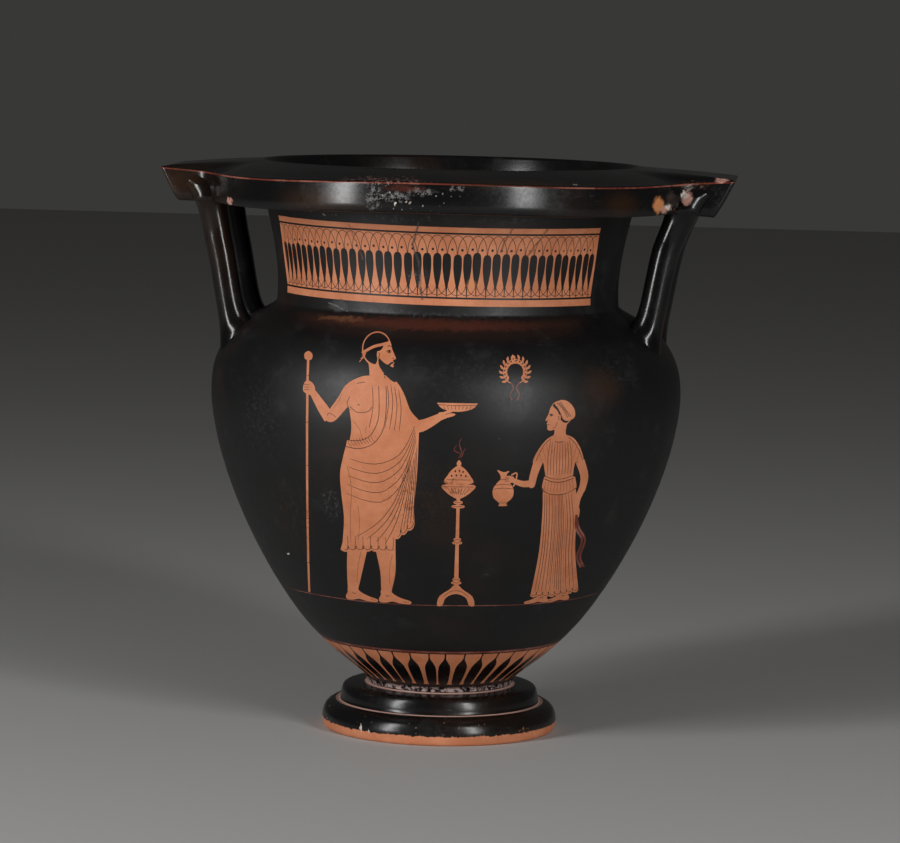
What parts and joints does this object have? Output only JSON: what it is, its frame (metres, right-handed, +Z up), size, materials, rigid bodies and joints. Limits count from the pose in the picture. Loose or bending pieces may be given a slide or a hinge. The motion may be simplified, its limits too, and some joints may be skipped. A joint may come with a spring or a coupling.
{
  "type": "greek krater",
  "caption": "Wide-mouthed footed mixing bowl of fired clay with a broad rim, a short neck and column handles under flat plates, glossed black with red figures.",
  "frame": {"origin": "centre of the resting ring, on the surface that the foot stands on", "axes": "+Z up along the krater's axis, +X towards one handle plate, -Y towards the painted front"},
  "size_m": [0.4056, 0.345, 0.41],
  "materials": {
    "black_gloss_clay": "satin black gloss over orange fired clay, which shows in the reserved figures, ornament, lines and worn edges"
  },
  "bodies": {
    "root": {"krater": "black_gloss_clay"}
  },
  "joints": []
}
